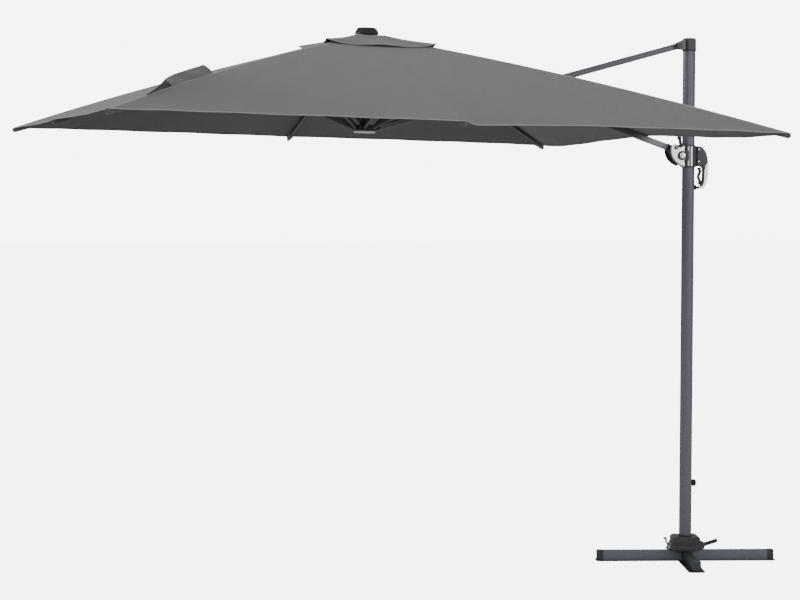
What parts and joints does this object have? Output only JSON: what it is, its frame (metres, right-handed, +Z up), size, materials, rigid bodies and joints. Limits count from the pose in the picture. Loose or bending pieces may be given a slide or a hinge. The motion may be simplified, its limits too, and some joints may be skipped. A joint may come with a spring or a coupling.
{
  "type": "cantilever parasol",
  "caption": "Square cantilever parasol: side mast on a swivel cross foot, crossed folding arms, sliding handle, vented fabric canopy on hinged ribs and struts.",
  "frame": {"origin": "on the ground under the mast's axis, at the centre of the foot's underside", "axes": "+Z up; +X from the canopy's centre towards the mast, so the canopy hangs on the -X side; +Y across the arms, away from the tie bar's side"},
  "size_m": [3.6582, 2.996, 2.6692],
  "materials": {
    "powder_coat": "anthracite powder coat with a slight blue cast, satin",
    "black_plastic": "black moulded plastic, fine grain",
    "grey_plastic": "dark grey moulded plastic, fine grain",
    "aluminium": "bare brushed aluminium",
    "steel": "zinc plated steel",
    "polyester": "grey woven polyester, plain weave"
  },
  "bodies": {
    "base": {"cross_bar_a": "powder_coat", "cross_bar_b": "powder_coat", "leg_cap_right": "grey_plastic", "leg_cap_back": "grey_plastic", "leg_cap_left": "grey_plastic", "leg_cap_front": "grey_plastic", "base_flange": "grey_plastic"},
    "mast": {"mast_tube": "powder_coat", "mast_cap": "black_plastic", "top_clevis": "black_plastic", "top_pivot_bolt": "black_plastic", "swivel_housing": "grey_plastic", "swivel_cover": "grey_plastic", "pedal_bracket": "black_plastic", "latch_bracket": "steel"},
    "foot_pedal": {"foot_pedal": "black_plastic"},
    "foot_latch": {"foot_latch": "steel"},
    "mast_knob": {"mast_knob": "black_plastic"},
    "slider": {"slider_sleeve": "black_plastic", "arm_pivot_bolt": "black_plastic", "handle_shell": "grey_plastic", "handle_screw_top": "steel", "handle_screw_low": "steel", "lock_tail": "black_plastic"},
    "handle_trigger": {"handle_trigger": "black_plastic"},
    "tilt_lever": {"tilt_lever": "black_plastic"},
    "boom": {"tilt_plate_front": "aluminium", "tilt_plate_back": "aluminium", "boom_bolt": "steel", "boom_root": "grey_plastic", "boom_tube": "powder_coat", "boom_tip": "black_plastic", "cross_bolt": "steel"},
    "tie_bar": {"tie_tube": "powder_coat", "tie_plug": "black_plastic", "tie_tip": "black_plastic", "cross_washer": "steel"},
    "top_hub": {"top_hub": "black_plastic", "finial_cap": "black_plastic", "canopy_cloth": "polyester", "vent_cloth": "polyester"},
    "runner": {"runner_hub": "black_plastic", "runner_ring": "aluminium"},
    "rib_front": {"rib_front": "powder_coat"},
    "strut_front": {"strut_front": "powder_coat"},
    "rib_outer": {"rib_outer": "powder_coat"},
    "strut_outer": {"strut_outer": "powder_coat"},
    "rib_back": {"rib_back": "powder_coat"},
    "strut_back": {"strut_back": "powder_coat"},
    "rib_mast_front": {"rib_mast_front": "powder_coat"},
    "strut_mast_front": {"strut_mast_front": "powder_coat"},
    "rib_outer_front": {"rib_outer_front": "powder_coat", "closing_strap": "polyester"},
    "strut_outer_front": {"strut_outer_front": "powder_coat"},
    "rib_outer_back": {"rib_outer_back": "powder_coat"},
    "strut_outer_back": {"strut_outer_back": "powder_coat"},
    "rib_mast_back": {"rib_mast_back": "powder_coat"},
    "strut_mast_back": {"strut_mast_back": "powder_coat"}
  },
  "joints": [
    {"name": "mast_swivel", "type": "hinge", "parent": "base", "child": "mast", "pos_m": [0, 0, 0.06], "axis": [0, 0, 1], "continuous": true},
    {"name": "pedal_press", "type": "hinge", "parent": "mast", "child": "foot_pedal", "pos_m": [0.08637, -0.02347, 0.0755], "axis": [0.2622, 0.965, 0], "range_deg": [0, 10]},
    {"name": "latch_swing", "type": "hinge", "parent": "mast", "child": "foot_latch", "pos_m": [-0.08396, 0.02281, 0.072], "axis": [-0.2622, -0.965, 0], "range_deg": [0, 15]},
    {"name": "knob_turn", "type": "hinge", "parent": "mast", "child": "mast_knob", "pos_m": [0.033, 0, 0.3955], "axis": [1, 0, 0], "continuous": true},
    {"name": "slider_slide", "type": "slide", "parent": "mast", "child": "slider", "axis": [0, 0, -1], "range_m": [0, 1.14], "deforming": ["canopy_cloth", "vent_cloth", "closing_strap"]},
    {"name": "trigger_squeeze", "type": "hinge", "parent": "slider", "child": "handle_trigger", "pos_m": [0.06, 0, 2.001], "axis": [0, 1, 0], "range_deg": [-5, 0]},
    {"name": "boom_hinge", "type": "hinge", "parent": "slider", "child": "boom", "pos_m": [-0.054, 0, 2.063], "axis": [0, 1, 0], "range_deg": [0, 47.85]},
    {"name": "tilt_lever_turn", "type": "hinge", "parent": "boom", "child": "tilt_lever", "pos_m": [-0.065, -0.0505, 2.112], "axis": [0, 1, 0], "range_deg": [0, 25]},
    {"name": "tie_hinge", "type": "hinge", "parent": "mast", "child": "tie_bar", "pos_m": [-0.061, 0, 2.616], "axis": [0, 1, 0], "range_deg": [-49.72, 0]},
    {"name": "top_hub_hinge", "type": "hinge", "parent": "boom", "child": "top_hub", "pos_m": [-1.65002, 0, 2.58751], "axis": [0, 1, 0], "range_deg": [-47.85, 0]},
    {"name": "runner_hinge", "type": "hinge", "parent": "tie_bar", "child": "runner", "pos_m": [-1.65963, 0, 2.18363], "axis": [0, 1, 0], "range_deg": [0, 49.72]},
    {"name": "rib_front_hinge", "type": "hinge", "parent": "top_hub", "child": "rib_front", "pos_m": [-1.69901, -0.049, 2.58868], "axis": [0.9997, 0, -0.0238], "range_deg": [0, 72.79]},
    {"name": "strut_front_hinge", "type": "hinge", "parent": "runner", "child": "strut_front", "pos_m": [-1.72561, -0.044, 2.1852], "axis": [0.9997, 0, -0.0238], "range_deg": [-66.74, 0]},
    {"name": "rib_outer_hinge", "type": "hinge", "parent": "top_hub", "child": "rib_outer", "pos_m": [-1.74799, 0, 2.58985], "axis": [0, -1, 0], "range_deg": [0, 72.95]},
    {"name": "strut_outer_hinge", "type": "hinge", "parent": "runner", "child": "strut_outer", "pos_m": [-1.75261, 0.017, 2.18584], "axis": [0, -1, 0], "range_deg": [-66.61, 0]},
    {"name": "rib_back_hinge", "type": "hinge", "parent": "top_hub", "child": "rib_back", "pos_m": [-1.69901, 0.049, 2.58868], "axis": [-0.9997, 0, 0.0238], "range_deg": [0, 72.79]},
    {"name": "strut_back_hinge", "type": "hinge", "parent": "runner", "child": "strut_back", "pos_m": [-1.69162, 0.044, 2.18439], "axis": [-0.9997, 0, 0.0238], "range_deg": [-66.74, 0]},
    {"name": "rib_mast_front_hinge", "type": "hinge", "parent": "top_hub", "child": "rib_mast_front", "pos_m": [-1.66437, -0.03465, 2.58786], "axis": [0.7069, 0.7071, -0.0168], "range_deg": [0, 72.84]},
    {"name": "strut_mast_front_hinge", "type": "hinge", "parent": "runner", "child": "strut_mast_front", "pos_m": [-1.68953, -0.04313, 2.18434], "axis": [0.7069, 0.7071, -0.0168], "range_deg": [-56.03, 0]},
    {"name": "rib_outer_front_hinge", "type": "hinge", "parent": "top_hub", "child": "rib_outer_front", "pos_m": [-1.73364, -0.03465, 2.58951], "axis": [0.7069, -0.7071, -0.0168], "range_deg": [0, 73.05]},
    {"name": "strut_outer_front_hinge", "type": "hinge", "parent": "runner", "child": "strut_outer_front", "pos_m": [-1.75174, -0.01909, 2.18582], "axis": [0.7069, -0.7071, -0.0168], "range_deg": [-55.82, 0]},
    {"name": "rib_outer_back_hinge", "type": "hinge", "parent": "top_hub", "child": "rib_outer_back", "pos_m": [-1.73364, 0.03465, 2.58951], "axis": [-0.7069, -0.7071, 0.0168], "range_deg": [0, 73.05]},
    {"name": "strut_outer_back_hinge", "type": "hinge", "parent": "runner", "child": "strut_outer_back", "pos_m": [-1.72771, 0.04313, 2.18525], "axis": [-0.7069, -0.7071, 0.0168], "range_deg": [-55.82, 0]},
    {"name": "rib_mast_back_hinge", "type": "hinge", "parent": "top_hub", "child": "rib_mast_back", "pos_m": [-1.66437, 0.03465, 2.58786], "axis": [-0.7069, 0.7071, 0.0168], "range_deg": [0, 72.84]},
    {"name": "strut_mast_back_hinge", "type": "hinge", "parent": "runner", "child": "strut_mast_back", "pos_m": [-1.6655, 0.01909, 2.18377], "axis": [-0.7069, 0.7071, 0.0168], "range_deg": [-56.03, 0]}
  ],
  "couplings": [
    {"joint": "boom_hinge", "follows": "slider_slide", "rad_per_m": 0.72498},
    {"joint": "tie_hinge", "follows": "slider_slide", "rad_per_m": -0.7536},
    {"joint": "top_hub_hinge", "follows": "slider_slide", "rad_per_m": -0.72498},
    {"joint": "runner_hinge", "follows": "slider_slide", "rad_per_m": 0.7536},
    {"joint": "rib_front_hinge", "follows": "slider_slide", "rad_per_m": 1.1068},
    {"joint": "strut_front_hinge", "follows": "slider_slide", "rad_per_m": -1.0141},
    {"joint": "rib_outer_hinge", "follows": "slider_slide", "rad_per_m": 1.1092},
    {"joint": "strut_outer_hinge", "follows": "slider_slide", "rad_per_m": -1.0121},
    {"joint": "rib_back_hinge", "follows": "slider_slide", "rad_per_m": 1.1068},
    {"joint": "strut_back_hinge", "follows": "slider_slide", "rad_per_m": -1.0141},
    {"joint": "rib_mast_front_hinge", "follows": "slider_slide", "rad_per_m": 1.1075},
    {"joint": "strut_mast_front_hinge", "follows": "slider_slide", "rad_per_m": -0.8501},
    {"joint": "rib_outer_front_hinge", "follows": "slider_slide", "rad_per_m": 1.1108},
    {"joint": "strut_outer_front_hinge", "follows": "slider_slide", "rad_per_m": -0.84699},
    {"joint": "rib_outer_back_hinge", "follows": "slider_slide", "rad_per_m": 1.1108},
    {"joint": "strut_outer_back_hinge", "follows": "slider_slide", "rad_per_m": -0.84699},
    {"joint": "rib_mast_back_hinge", "follows": "slider_slide", "rad_per_m": 1.1075},
    {"joint": "strut_mast_back_hinge", "follows": "slider_slide", "rad_per_m": -0.8501}
  ]
}
